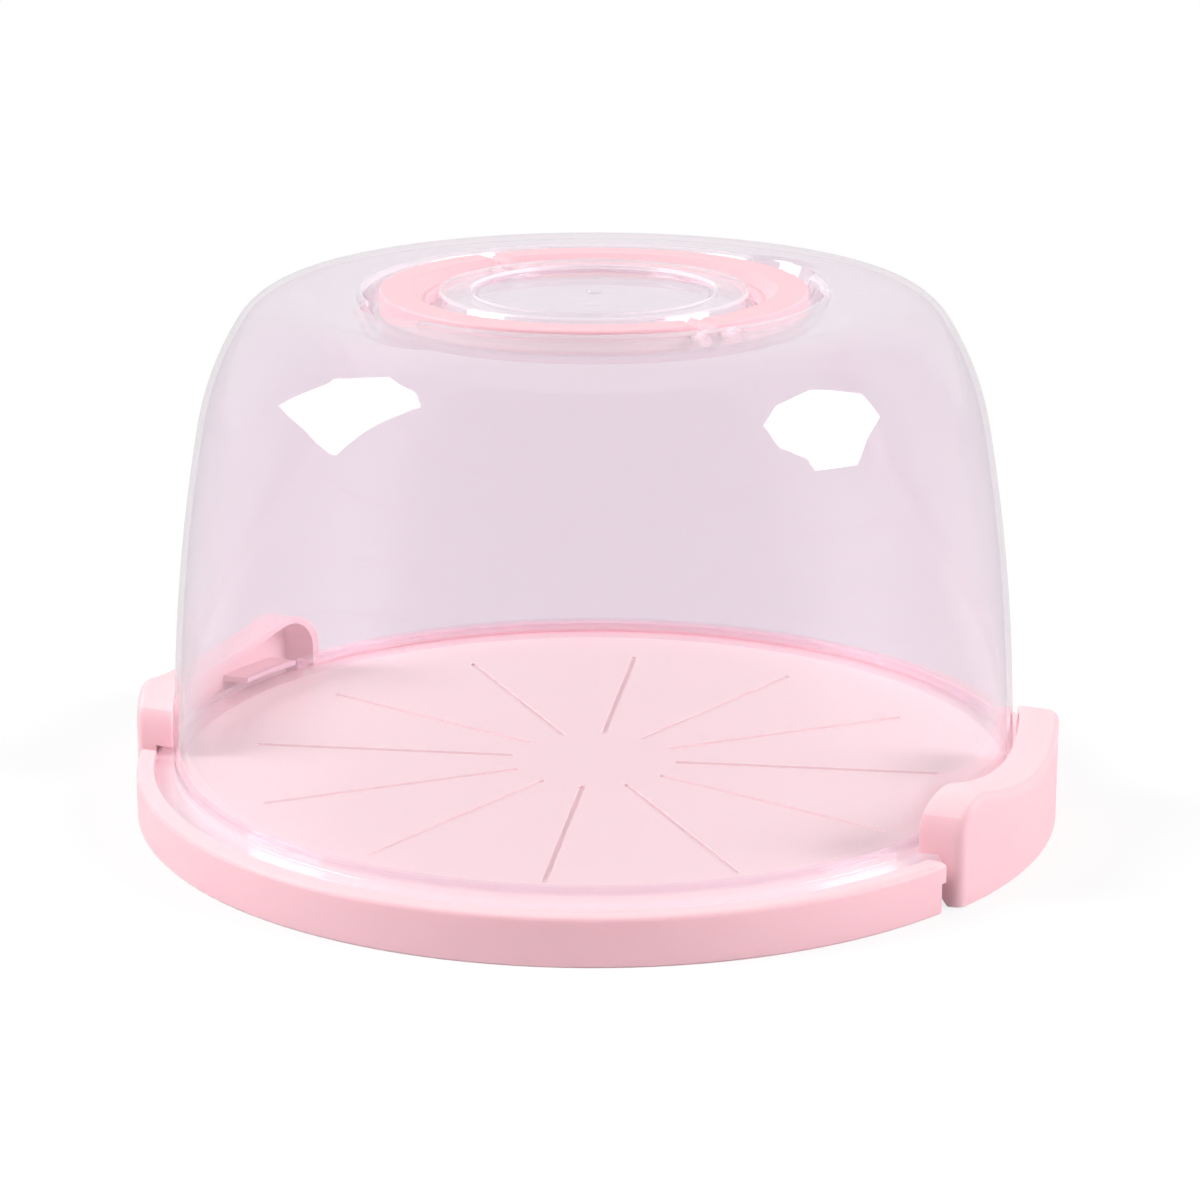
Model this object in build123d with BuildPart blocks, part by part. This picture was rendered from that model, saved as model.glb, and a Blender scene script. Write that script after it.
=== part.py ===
from build123d import *
from math import asin, cos, degrees, radians, sin, sqrt, tan
import os

# Round cake and cupcake carrier: tray, clear dome, two side latches on hinge pins, two-part ring handle
# Millimetres, +Z up, origin at the centre of the underside, +X towards the right latch

# Tray
base_radius = 155.0
base_height = 16.6
plate_top = 13.1
plate_thickness = 2.5
skirt_wall = 2.5
rim_width = 5.7
rim_round = 2.0
rim_inner_chamfer = 0.6
skirt_foot_chamfer = 0.6
foot_ring_inset = 15.6
foot_ring_wall = 2.4
hub_ring_radius = 38.0
rib_count = 12
rib_thickness = 1.6
rib_depth = 3.5

# Slice guides moulded into the tray
groove_count = 12
groove_inner_radius = 27.7
groove_end_gap = 31.4
groove_width = 2.2
groove_depth = 0.7

# Dome
seat_clearance = 0.3
rim_clearance = 0.4
dome_wall = 2.0
flange_thickness = 2.8
flange_chamfer = 0.6
flange_width = 6.8
side_start = 23.0
side_draft = 2.6
side_bend_height = 87.7
upper_draft = 10.5
upper_bend_height = 149.9
shoulder_draft = 32.1
crown_inset = 43.4
crown_height = 176.7
crown_slope = 1.0
side_bend_share = 0.68
upper_bend_share = 0.29
crown_bend_share = 0.39

# Handle well, plateau and disc in the dome's top
well_radius = 73.6
well_depth = 8.3
lip_round = 2.2
corner_chamfer = 0.8
plateau_radius = 53.0
plateau_drop = 0.4
disc_radius = 40.5
disc_depth = 1.6
disc_chamfer = 0.5
gate_radius = 2.2
gate_height = 0.5
scallop_radius = 24.0
scallop_reach = 80.5
scallop_inner_radius = 66.0

# Ring handle in two halves, split along a diameter
seam_angle = -36.5
ring_radius = 70.4
ring_inner_radius = 54.8
ring_height = 7.6
ring_floor_gap = 0.5
ring_edge_round = 0.9
ledge_radius = 60.0
ledge_drop = 3.5
channel_inner_radius = 62.2
channel_outer_radius = 68.0
channel_roof = 2.4
channel_start = 14.0
pivot_offset = 5.5
pivot_radius = 1.8
pivot_end_gap = 0.4
pivot_clearance = 0.05
boss_radius = 3.3
boss_length = 3.2
boss_end_wall = 1.0

# Side latches
latch_proud = 2.0
latch_wall = 2.5
latch_half_width = 55.0
latch_bottom = 0.5
shoulder_height = 36.0
shoulder_radius = 13.0
valley_height = 30.5
band_clearance = 1.7
band_round = 4.0
rim_gap = 0.5
return_clearance = 0.7
slot_gap = 4.0
slot_gap_low = 5.8
slot_step_height = 10.0
catch_start = 19.0
catch_width = 26.0
catch_thickness = 2.2
catch_overlap = 4.4
catch_clearance = 0.4
catch_chamfer = 0.8

# Latch hinges
hinge_inset = 7.5
hinge_height = 7.3
knuckle_radius = 3.0
knuckle_width = 8.0
knuckle_gap = 0.4
ear_width = 5.5
pin_radius = 1.5
pin_clearance = 0.05
pin_chamfer = 0.3

# Worked out from the sizes above
plate_bottom = plate_top - plate_thickness
skirt_inner_radius = base_radius - skirt_wall
rib_bottom = plate_bottom - rib_depth
rim_inner_radius = base_radius - rim_width
foot_ring_radius = base_radius - foot_ring_inset
groove_outer_radius = rim_inner_radius - groove_end_gap
flange_radius = rim_inner_radius - rim_clearance
flange_bottom = plate_top + seat_clearance
flange_top = flange_bottom + flange_thickness
dome_radius = flange_radius - flange_width
crown_radius = dome_radius - crown_inset
well_edge_height = crown_height + (crown_radius - well_radius) * sin(radians(crown_slope))
well_floor = well_edge_height - well_depth
plateau_top = well_edge_height - plateau_drop
disc_top = plateau_top - disc_depth
ring_bottom = well_floor + ring_floor_gap
ring_top = ring_bottom + ring_height
pivot_height = ring_bottom + ring_height / 2
pivot_hole_radius = pivot_radius + pivot_clearance
pivot_hole_depth = dome_wall + boss_length - boss_end_wall
pivot_start = plateau_radius - pivot_hole_depth + pivot_end_gap
pivot_end = well_radius + pivot_hole_depth - pivot_end_gap
latch_radius = base_radius + latch_proud
return_radius = rim_inner_radius + return_clearance
hinge_x = latch_radius - hinge_inset
# An end wall's foot swings inside the plate's nearest edge
window_edge = sqrt(rim_inner_radius**2 - (latch_half_width - latch_wall) ** 2)
swing_reach = sqrt((hinge_x - window_edge) ** 2 + (plate_bottom - hinge_height) ** 2) - return_clearance
band_radius = dome_radius + band_clearance
band_bottom = base_height + rim_gap
latch_inner_radius = latch_radius - latch_wall
catch_bottom = flange_top + catch_clearance
centre_ear_width = 2 * (knuckle_gap + ear_width / 2)
knuckle_centre = centre_ear_width / 2 + knuckle_gap + knuckle_width / 2
ear_centre = knuckle_centre + knuckle_width / 2 + knuckle_gap + ear_width / 2
pin_half_length = ear_centre + ear_width / 2
tall = 2 * crown_height

# Planes of the handle: its seam runs along the plane's X, the rear half lies on its +Y side
handle_plane = Plane.XY.rotated((0, 0, seam_angle))
seam_direction = handle_plane.x_dir


def seam_plane(distance, across):
    """The plane square to the seam, at a distance along it, centred on a half's pivot axis."""
    place = handle_plane.from_local_coords(Vector(distance, across, pivot_height))
    return Plane(origin=place, x_dir=handle_plane.y_dir, z_dir=seam_direction)


def inward(first, second, inset):
    """How a corner moves when both its straights, which face so many degrees upwards, move in."""
    middle = radians(first + second) / 2
    return Vector(cos(middle), sin(middle)) * (-inset / cos(radians(second - first) / 2))


def dome_outline(inset):
    """The dome's surface from its foot to the middle of its top, moved into the wall by an inset."""
    side_foot = Vector(dome_radius, side_start)
    side_bend = side_foot + Vector(
        -(side_bend_height - side_start) * tan(radians(side_draft)), side_bend_height - side_start
    )
    upper_rise = upper_bend_height - side_bend_height
    upper_bend = side_bend + Vector(-upper_rise * tan(radians(upper_draft)), upper_rise)
    # The shoulder's straight meets the crown's
    crown_tangent = tan(radians(crown_slope))
    shoulder_tangent = tan(radians(shoulder_draft))
    crown_drop = (upper_bend.X - crown_radius) * crown_tangent
    shoulder_rise = (crown_height - crown_drop - upper_bend_height) / (
        1 - crown_tangent * shoulder_tangent
    )
    crown_bend = upper_bend + Vector(-shoulder_rise * shoulder_tangent, shoulder_rise)
    # Each bend's round takes a share of the straights beside it
    upper_length = (upper_bend - side_bend).length
    shoulder_length = (crown_bend - upper_bend).length
    side_reach = min(side_bend_share * upper_length, (side_bend - side_foot).length)
    upper_reach = min(upper_bend_share * upper_length, (1 - crown_bend_share) * shoulder_length)
    crown_reach = min(crown_bend_share * shoulder_length, (crown_bend.X - well_radius) / 2)
    side_round = side_reach / tan(radians(upper_draft - side_draft) / 2)
    upper_round = upper_reach / tan(radians(shoulder_draft - upper_draft) / 2)
    crown_round = crown_reach / tan(radians(90 - crown_slope - shoulder_draft) / 2)
    foot = Vector(dome_radius - inset, flange_bottom - inset)
    edge = (well_radius + inset, well_edge_height - inset)
    wall_foot = (well_radius + inset, well_floor - inset)
    plateau_foot = (plateau_radius - inset, well_floor - inset)
    plateau_edge = (plateau_radius - inset, plateau_top - inset)
    disc_edge = (disc_radius - inset, plateau_top - inset)
    disc_foot = (disc_radius - inset, disc_top - inset)
    middle = (0, disc_top - inset)
    crown = Vector((crown_bend.X - crown_reach + well_radius) / 2, 0)
    crown.Y = crown_height - inset + (crown_radius - crown.X) * crown_tangent
    Line(foot, side_foot + inward(0, side_draft, inset))
    FilletPolyline(
        side_foot + inward(0, side_draft, inset),
        side_bend + inward(side_draft, upper_draft, inset),
        upper_bend + inward(upper_draft, shoulder_draft, inset),
        crown_bend + inward(shoulder_draft, 90 - crown_slope, inset),
        crown,
        radius=(side_round - inset, upper_round - inset, crown_round - inset),
    )
    Polyline(crown, edge, wall_foot, plateau_foot, plateau_edge, disc_edge, disc_foot, middle)
    Polyline(middle, (0, foot.Y), foot)


def corner(section, radius, height):
    """The corner of a section that lies nearest to a radius and a height."""
    return section.vertices().sort_by_distance(Vector(radius, height, 0))[0]


# Tray: plate, rim, skirt, foot ring, ribs and slice guides, with a window for each latch
with BuildPart() as base_tray:
    with BuildSketch(Plane.XZ) as tray_section:
        with BuildLine():
            Polyline(
                (0, plate_bottom),
                (skirt_inner_radius, plate_bottom),
                (skirt_inner_radius, 0),
                (base_radius, 0),
                (base_radius, base_height),
                (rim_inner_radius, base_height),
                (rim_inner_radius, plate_top),
                (0, plate_top),
                close=True,
            )
        make_face()
        rim_corners = tray_section.vertices().group_by(Axis.Y)[-1].sort_by(Axis.X)
        fillet(rim_corners[-1], radius=rim_round)
        chamfer(rim_corners[0], length=rim_inner_chamfer)
        foot_corners = tray_section.vertices().group_by(Axis.Y)[0].sort_by(Axis.X)
        chamfer(foot_corners[-1], length=skirt_foot_chamfer)
    revolve(axis=Axis.Z)
    with BuildSketch(Plane.XY):
        Circle(foot_ring_radius)
        Circle(foot_ring_radius - foot_ring_wall, mode=Mode.SUBTRACT)
    extrude(amount=plate_bottom)
    with BuildSketch(Plane.XY.offset(rib_bottom)):
        Circle(hub_ring_radius)
        Circle(hub_ring_radius - foot_ring_wall, mode=Mode.SUBTRACT)
        rib_start = hub_ring_radius - foot_ring_wall / 2
        rib_end = foot_ring_radius - foot_ring_wall / 2
        with PolarLocations((rib_start + rib_end) / 2, rib_count):
            Rectangle(rib_end - rib_start, rib_thickness)
    extrude(amount=rib_depth)
    with BuildSketch(Plane.XY.offset(plate_top)):
        groove_length = groove_outer_radius - groove_inner_radius
        groove_middle = (groove_outer_radius + groove_inner_radius) / 2
        with PolarLocations(groove_middle, groove_count, start_angle=180 / groove_count):
            SlotOverall(groove_length, groove_width)
    extrude(amount=-groove_depth, mode=Mode.SUBTRACT)
    # Latch windows, wider below the rim
    for gap, top in ((slot_gap, 2 * base_height), (slot_gap_low, slot_step_height)):
        with BuildSketch(Plane.XY):
            Rectangle(3 * base_radius, 2 * (latch_half_width + gap))
            Circle(rim_inner_radius, mode=Mode.SUBTRACT)
        extrude(amount=top, mode=Mode.SUBTRACT)
    # Hinge ears under the plate's edge
    ears = ((-ear_centre, ear_width), (0, centre_ear_width), (ear_centre, ear_width))
    for side in (1, -1):
        for across, width in ears:
            with BuildSketch(Plane.XZ.offset(-across)):
                ear_length = hinge_x - foot_ring_radius + foot_ring_wall / 2
                ear_height = plate_bottom - hinge_height + knuckle_radius
                ear_place = (side * (hinge_x - ear_length / 2), plate_bottom - ear_height / 2)
                with Locations(ear_place):
                    Rectangle(ear_length, ear_height)
                with Locations((side * hinge_x, hinge_height)):
                    Circle(knuckle_radius)
                    Circle(pin_radius + pin_clearance, mode=Mode.SUBTRACT)
            extrude(amount=width / 2, both=True)

# Clear dome with its flange, handle well, finger scallops and pivot bosses
with BuildPart() as dome_lid:
    with BuildSketch(Plane.XZ) as dome_section:
        with BuildLine():
            dome_outline(0)
        make_face()
        fillet(corner(dome_section, well_radius, well_edge_height), radius=lip_round)
        for corner_radius, corner_height in (
            (well_radius, well_floor),
            (plateau_radius, well_floor),
            (plateau_radius, plateau_top),
        ):
            chamfer(corner(dome_section, corner_radius, corner_height), length=corner_chamfer)
        chamfer(corner(dome_section, disc_radius, plateau_top), length=disc_chamfer)
        chamfer(corner(dome_section, disc_radius, disc_top), length=disc_chamfer)
    revolve(axis=Axis.Z)
    with BuildSketch(Plane.XZ) as flange_section:
        flange_inner = dome_radius - dome_wall
        with Locations(((flange_radius + flange_inner) / 2, (flange_top + flange_bottom) / 2)):
            Rectangle(flange_radius - flange_inner, flange_thickness)
        chamfer(flange_section.vertices().group_by(Axis.X)[-1], length=flange_chamfer)
    revolve(axis=Axis.Z)
    with BuildSketch(Plane.XZ):
        with BuildLine():
            dome_outline(dome_wall)
        make_face()
    revolve(axis=Axis.Z, mode=Mode.SUBTRACT)
    # Finger scallops, square to the handle's seam
    scallop_centre = scallop_reach - scallop_radius
    scallop_places = [(0, scallop_centre), (0, -scallop_centre)]
    with BuildSketch(handle_plane.offset(well_floor - dome_wall)):
        with Locations(scallop_places):
            Circle(scallop_radius + dome_wall)
        Circle(well_radius + dome_wall / 2, mode=Mode.SUBTRACT)
    extrude(amount=well_depth + dome_wall / 2)
    with BuildSketch(handle_plane.offset(well_floor)):
        with Locations(scallop_places):
            Circle(scallop_radius)
        Circle(scallop_inner_radius, mode=Mode.SUBTRACT)
    extrude(amount=2 * well_depth, mode=Mode.SUBTRACT)
    with BuildSketch(Plane.XY.offset(disc_top)):
        Circle(gate_radius)
    extrude(amount=gate_height)
    # Bosses behind the well's two walls carry the handle's pivots
    pivot_places = [
        (end * distance, half * pivot_offset, end * turn)
        for end in (1, -1)
        for half in (1, -1)
        for distance, turn in ((well_radius, 1), (plateau_radius, -1))
    ]
    for distance, across, turn in pivot_places:
        with BuildSketch(seam_plane(distance, across)):
            Circle(boss_radius)
        extrude(amount=turn * (dome_wall + boss_length))
    for distance, across, turn in pivot_places:
        with BuildSketch(seam_plane(distance - turn * dome_wall, across)):
            Circle(pivot_hole_radius)
        extrude(amount=turn * (dome_wall + pivot_hole_depth), mode=Mode.SUBTRACT)

# Latch cavity: the room between a latch's face, band and end walls, open to the dome and downwards
shoulder_y = latch_half_width - shoulder_radius
shoulder_z = shoulder_height - shoulder_radius
valley_rise = valley_height - shoulder_z
valley_radius = (shoulder_y**2 + valley_rise**2 - shoulder_radius**2) / (
    2 * (shoulder_radius - valley_rise)
)
lean = degrees(asin(shoulder_y / (valley_radius + shoulder_radius)))


def latch_outline():
    """A latch seen from the side: two round shoulders and a shallow valley between them."""
    Line((-latch_half_width, latch_bottom), (latch_half_width, latch_bottom))
    Line((latch_half_width, latch_bottom), (latch_half_width, shoulder_z))
    CenterArc((shoulder_y, shoulder_z), shoulder_radius, 0, 90 + lean)
    CenterArc((0, valley_height + valley_radius), valley_radius, lean - 90, -2 * lean)
    CenterArc((-shoulder_y, shoulder_z), shoulder_radius, 90 - lean, 90 + lean)
    Line((-latch_half_width, shoulder_z), (-latch_half_width, latch_bottom))


with BuildPart() as latch_cavity:
    with BuildSketch(Plane.YZ):
        with BuildLine():
            latch_outline()
        make_face()
        offset(amount=-latch_wall, mode=Mode.REPLACE)
        with Locations((0, 0)):
            Rectangle(2 * (latch_half_width - latch_wall), 2 * band_bottom)
    extrude(amount=2 * latch_radius)
    with BuildSketch(Plane.XY.offset(-tall)):
        Circle(latch_inner_radius)
    extrude(amount=2 * tall, mode=Mode.INTERSECT)

# Right latch: curved face, band over the rim, end walls, two catches and two hinge knuckles
with BuildPart() as latch_right:
    with BuildSketch(Plane.YZ):
        with BuildLine():
            latch_outline()
        make_face()
    extrude(amount=2 * latch_radius)
    with BuildSketch(Plane.XY):
        Circle(latch_radius)
        Circle(band_radius, mode=Mode.SUBTRACT)
    extrude(amount=tall, mode=Mode.INTERSECT)
    outer_face = latch_right.faces().filter_by(GeomType.CYLINDER).sort_by(Axis.X)[-1]
    bottom_edge = outer_face.edges().sort_by(Axis.Z)[0]
    fillet(outer_face.edges() - [bottom_edge], radius=band_round)
    add(latch_cavity.part, mode=Mode.SUBTRACT)
    # Below the band the end walls pass outside the plate's edge
    with BuildSketch(Plane.XY):
        Circle(return_radius)
    extrude(amount=band_bottom, mode=Mode.SUBTRACT)
    # Their feet are round about the hinge, to swing past that edge
    with BuildSketch(Plane.XZ):
        with Locations((hinge_x, hinge_height)):
            Rectangle(2 * swing_reach, 2 * swing_reach, align=(Align.MAX, Align.MAX))
            Circle(swing_reach, mode=Mode.SUBTRACT)
    extrude(amount=latch_half_width, both=True, mode=Mode.SUBTRACT)
    for side in (1, -1):
        with BuildSketch(Plane.XY.offset(catch_bottom)):
            Circle((latch_radius + latch_inner_radius) / 2)
            Circle(flange_radius - catch_overlap, mode=Mode.SUBTRACT)
            with Locations((latch_radius, side * (catch_start + catch_width / 2))):
                Rectangle(latch_radius, catch_width, mode=Mode.INTERSECT)
        extrude(amount=catch_thickness)
        catch_edges = latch_right.edges(Select.LAST).filter_by(GeomType.CIRCLE)
        lead_in = catch_edges.group_by(Axis.Z)[0].sort_by(Axis.X)[0]
        chamfer(lead_in, length=catch_chamfer)
    for side in (1, -1):
        with BuildSketch(Plane.XZ.offset(side * knuckle_centre)):
            with Locations((hinge_x, hinge_height)):
                Circle(knuckle_radius)
            wall_reach = hinge_inset - latch_wall / 2
            with Locations((hinge_x + wall_reach / 2, hinge_height)):
                Rectangle(wall_reach, 2 * knuckle_radius)
            with Locations((hinge_x, hinge_height)):
                Circle(pin_radius + pin_clearance, mode=Mode.SUBTRACT)
        extrude(amount=knuckle_width / 2, both=True)

# Left latch: the same moulding, turned half a turn
with BuildPart() as latch_left:
    add(latch_right.part.rotate(Axis.Z, 180))

# Hinge pins
with BuildPart() as latch_pin_right:
    with BuildSketch(Plane.XZ.offset(-pin_half_length)):
        with Locations((hinge_x, hinge_height)):
            Circle(pin_radius)
    extrude(amount=2 * pin_half_length)
    chamfer(latch_pin_right.edges().filter_by(GeomType.CIRCLE), length=pin_chamfer)

with BuildPart() as latch_pin_left:
    add(latch_pin_right.part.rotate(Axis.Z, 180))

# Rear half of the ring handle, with an inner ledge, a channel underneath and a pivot at each end
with BuildPart() as handle_rear:
    with BuildSketch(handle_plane.offset(ring_bottom)):
        Circle(ring_radius)
        Circle(ring_inner_radius, mode=Mode.SUBTRACT)
        with Locations((0, pivot_offset + ring_radius)):
            Rectangle(2 * ring_radius, 2 * ring_radius, mode=Mode.INTERSECT)
    extrude(amount=ring_height)
    with BuildSketch(handle_plane.offset(ring_top)):
        Circle(ledge_radius)
    extrude(amount=-ledge_drop, mode=Mode.SUBTRACT)
    with BuildSketch(handle_plane.offset(ring_bottom)):
        Circle(channel_outer_radius)
        Circle(channel_inner_radius, mode=Mode.SUBTRACT)
        with Locations((0, channel_start + ring_radius)):
            Rectangle(2 * ring_radius, 2 * ring_radius, mode=Mode.INTERSECT)
    extrude(amount=ring_height - channel_roof, mode=Mode.SUBTRACT)
    end_outer = sqrt(ring_radius**2 - (pivot_offset + ring_height / 2) ** 2)
    for end in (1, -1):
        with BuildSketch(seam_plane(end * ledge_radius, pivot_offset)):
            Circle(ring_height / 2)
        extrude(amount=end * (end_outer - ledge_radius))
        with BuildSketch(seam_plane(end * ring_inner_radius, pivot_offset)):
            Circle(ring_height / 2 - ring_edge_round)
        extrude(amount=end * (ledge_radius - ring_inner_radius))
        with BuildSketch(seam_plane(end * pivot_start, pivot_offset)):
            Circle(pivot_radius)
        extrude(amount=end * (pivot_end - pivot_start))

# Front half: the same moulding, turned half a turn
with BuildPart() as handle_front:
    add(handle_rear.part.rotate(Axis.Z, 180))

base_tray.part.label = "base_tray"
dome_lid.part.label = "dome_lid"
latch_right.part.label = "latch_right"
latch_left.part.label = "latch_left"
latch_pin_right.part.label = "latch_pin_right"
latch_pin_left.part.label = "latch_pin_left"
handle_rear.part.label = "handle_rear"
handle_front.part.label = "handle_front"

os.makedirs("parts", exist_ok=True)
export_step(base_tray.part, "parts/base_tray.step")
export_step(dome_lid.part, "parts/dome_lid.step")
export_step(latch_right.part, "parts/latch_right.step")
export_step(latch_left.part, "parts/latch_left.step")
export_step(latch_pin_right.part, "parts/latch_pin_right.step")
export_step(latch_pin_left.part, "parts/latch_pin_left.step")
export_step(handle_rear.part, "parts/handle_rear.step")
export_step(handle_front.part, "parts/handle_front.step")
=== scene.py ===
import math

import bpy
import numpy as np
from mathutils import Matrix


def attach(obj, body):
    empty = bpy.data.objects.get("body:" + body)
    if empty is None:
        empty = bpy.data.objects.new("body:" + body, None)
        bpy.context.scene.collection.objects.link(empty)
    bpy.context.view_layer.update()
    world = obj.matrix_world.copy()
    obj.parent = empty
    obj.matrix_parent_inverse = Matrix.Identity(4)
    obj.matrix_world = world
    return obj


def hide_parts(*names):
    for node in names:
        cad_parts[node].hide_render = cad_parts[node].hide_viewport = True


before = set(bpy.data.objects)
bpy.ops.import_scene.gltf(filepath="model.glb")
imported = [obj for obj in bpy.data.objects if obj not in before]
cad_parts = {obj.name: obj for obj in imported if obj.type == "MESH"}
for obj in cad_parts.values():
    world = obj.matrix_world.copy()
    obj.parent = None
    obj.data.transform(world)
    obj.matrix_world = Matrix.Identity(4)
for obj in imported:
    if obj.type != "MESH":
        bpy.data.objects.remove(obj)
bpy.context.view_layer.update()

bl_info = {
    "name": "Cake and cupcake carrier",
    "version": (1, 0, 0),
    "blender": (4, 5, 0),
    "location": "View3D > Sidebar > Carrier",
    "description": "Dresses the packed carrier: clear dome, ring handle, latches and tray, with a pale stage",
    "category": "Object",
}

MM = 0.001
WHITE = (1.0, 1.0, 1.0)

# How the leaning walls of the well and the plateau share their lean between top and foot
LEAN_AT_TOP = 0.7
LEAN_AT_FOOT = 0.3

# Rounds of the dome: tight corners, the lip's inside, the side's bend and the foot of the gate's nub
TIGHT_ROUND = 0.3 * MM
INNER_LIP_ROUND = 0.5 * MM
SIDE_BEND_ROUND = 200 * MM
GATE_FOOT_ROUND = 0.2 * MM
# The disc's corners take this part of the other corners' round
DISC_ROUND_PART = 0.6
# Parts of the upper side that the bends below and above it take up, and of the shoulder that the last does
LOW_BEND_PART = 0.68
HIGH_BEND_PART = 0.29
CROWN_BEND_PART = 0.39

# The flange's outline takes over this far below the start of the side's lean
SIDE_LAP = 2 * MM
FLANGE_ROOT_ROUND = 0.8 * MM
FLANGE_EDGE_ROUND = 0.9 * MM
FLANGE_INNER_ROUND = 0.4 * MM

# Columns across a scallop and between two, and how far below the crown the well's rows can lie
SCALLOP_SPAN = math.radians(20)
SCALLOP_COLUMNS = 81
PLAIN_COLUMNS = 141
WELL_ZONE = 20 * MM

# Pivot bosses start inside the wall, at this part of its thickness
BOSS_ROOT = 0.9
BOSS_EDGE_ROUND = 0.4 * MM
BOSS_MOUTH_ROUND = 0.02 * MM
BOSS_SEAT_ROUND = 0.1 * MM

# The handle's slope to its ledge, the ledge's width and slant, and its small rounds
SLOPE_START = 0.3 * MM
LEDGE_WIDTH = 1.6 * MM
LEDGE_SLANT = 0.2 * MM
SOFT_ROUND = 0.5 * MM
SHARP_ROUND = 0.2 * MM
STUB_ROUND = 0.3 * MM
# The channel's draft, the length over which it rises to its roof, how far outside its walls a point still
# counts as in it, and how far below the ring's top such a point has to lie
CHANNEL_DRAFT = 0.4 * MM
CHANNEL_RAMP = 2 * MM
CHANNEL_SLACK = 0.01 * MM
CHANNEL_COVER = 1 * MM
HANDLE_COLUMNS = 141
# Angles of an end's half round at which it gets a column
END_ANGLES = np.radians([86, 70, 55, 40, 27, 14])

# Where the painted light turns the pink pale: that starts at the first distance or height and is complete at
# the second
PLATE_EDGE = {"From Min": 149.2 * MM, "From Max": 146.0 * MM}
PLATE_TOP = {"From Min": 16.0 * MM, "From Max": 13.5 * MM}
BAND_INSIDE = {"From Min": 155.6 * MM, "From Max": 155.0 * MM}
RIM_TOP = {"From Min": 15.5 * MM, "From Max": 16.3 * MM}
# The handle lies above this height, and the solid ends of a latch this far from its middle, within a reach
BELOW_HANDLE = 100 * MM
LATCH_END = 54.5 * MM
LATCH_END_REACH = 1.2 * MM
# Noise values between which the flow marks deepen, and how far red, green and blue spread under the skin
FLOW_RANGE = {"From Min": 0.35, "From Max": 0.75}
GLOW_SPREAD = (1.0, 0.6, 0.65)
PLASTIC_IOR = 1.49
STEEL_ROUGHNESS = {"To Min": 0.25, "To Max": 0.4}
# The painted highlights on the lips start and are complete this far below the crown's height
LIP_HIGHLIGHT_START = 2.2 * MM
LIP_HIGHLIGHT_FULL = 1.2 * MM
# Added to the cosine of the look, so that the haze stays finite where the look runs along the wall
LEAST_COSINE = 0.06

# Corners of the lamps and the backdrop, in degrees round from the camera's right and up from the horizon
LAMP_LEFT = [
    (161.6, 15.0), (173.6, 28.3), (182.6, 47.2), (208.1, 37.9), (197.8, 27.2), (189.6, 13.5), (175.3, 15.5),
]
LAMP_RIGHT = [
    (-33.4, 32.8), (-25.4, 36.9), (-10.9, 35.4), (4.7, 26.4), (5.3, 18.7),
    (-3.3, 16.0), (-10.2, 10.8), (-23.7, 13.6), (-24.8, 18.0), (-32.1, 24.3),
]
BACKDROP = [(45, -1), (145, -1), (156, 24), (125, 50), (55, 50), (41, 14)]
OVERHEAD = [(turn, 62) for turn in range(-180, 180, 30)]
# Height on the object's axis of the point that those directions start from
LAMP_AIM = 120 * MM

# In millimetres, like the lens
SENSOR_WIDTH = 36.0

# Cosines to the camera's side between which the mirrored room darkens in front and brightens behind
FRONT_COSINES = {"From Min": 0.5, "From Max": 0.64}
BEHIND_COSINES = {"From Min": 0.1, "From Max": -0.3}
FLOOR_HALF = 6000 * MM
FLOOR_FADE = {"From Min": 350 * MM, "From Max": 900 * MM}
CLEAR_BOUNCES = 24


def length(label, text, millimetres):
    """A size that the user can change, kept in metres and given here in millimetres."""
    return bpy.props.FloatProperty(
        name=label, description=text, default=millimetres * MM, min=0.0,
        subtype="DISTANCE", unit="LENGTH", precision=5,
    )


def angle(label, text, degrees):
    """An angle that the user can change, kept in radians and given here in degrees."""
    return bpy.props.FloatProperty(
        name=label, description=text, default=math.radians(degrees), subtype="ANGLE", unit="ROTATION",
    )


def linear(code):
    """An sRGB colour such as F9C4CD as linear red, green and blue, by the sRGB curve."""
    parts = np.array([int(code[k:k + 2], 16) for k in (0, 2, 4)]) / 255
    curved = np.where(parts <= 0.04045, parts / 12.92, ((parts + 0.055) / 1.055) ** 2.4)
    return tuple(float(part) for part in curved)


def colour(label, text, code):
    """A colour that the user can change, written as sRGB hex and kept linear."""
    return bpy.props.FloatVectorProperty(
        name=label, description=text, default=linear(code), size=3, min=0.0, max=1.0, subtype="COLOR",
    )


def share(label, text, value):
    """A plain number from 0 to 1."""
    return bpy.props.FloatProperty(name=label, description=text, default=value, min=0.0, max=1.0)


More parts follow.
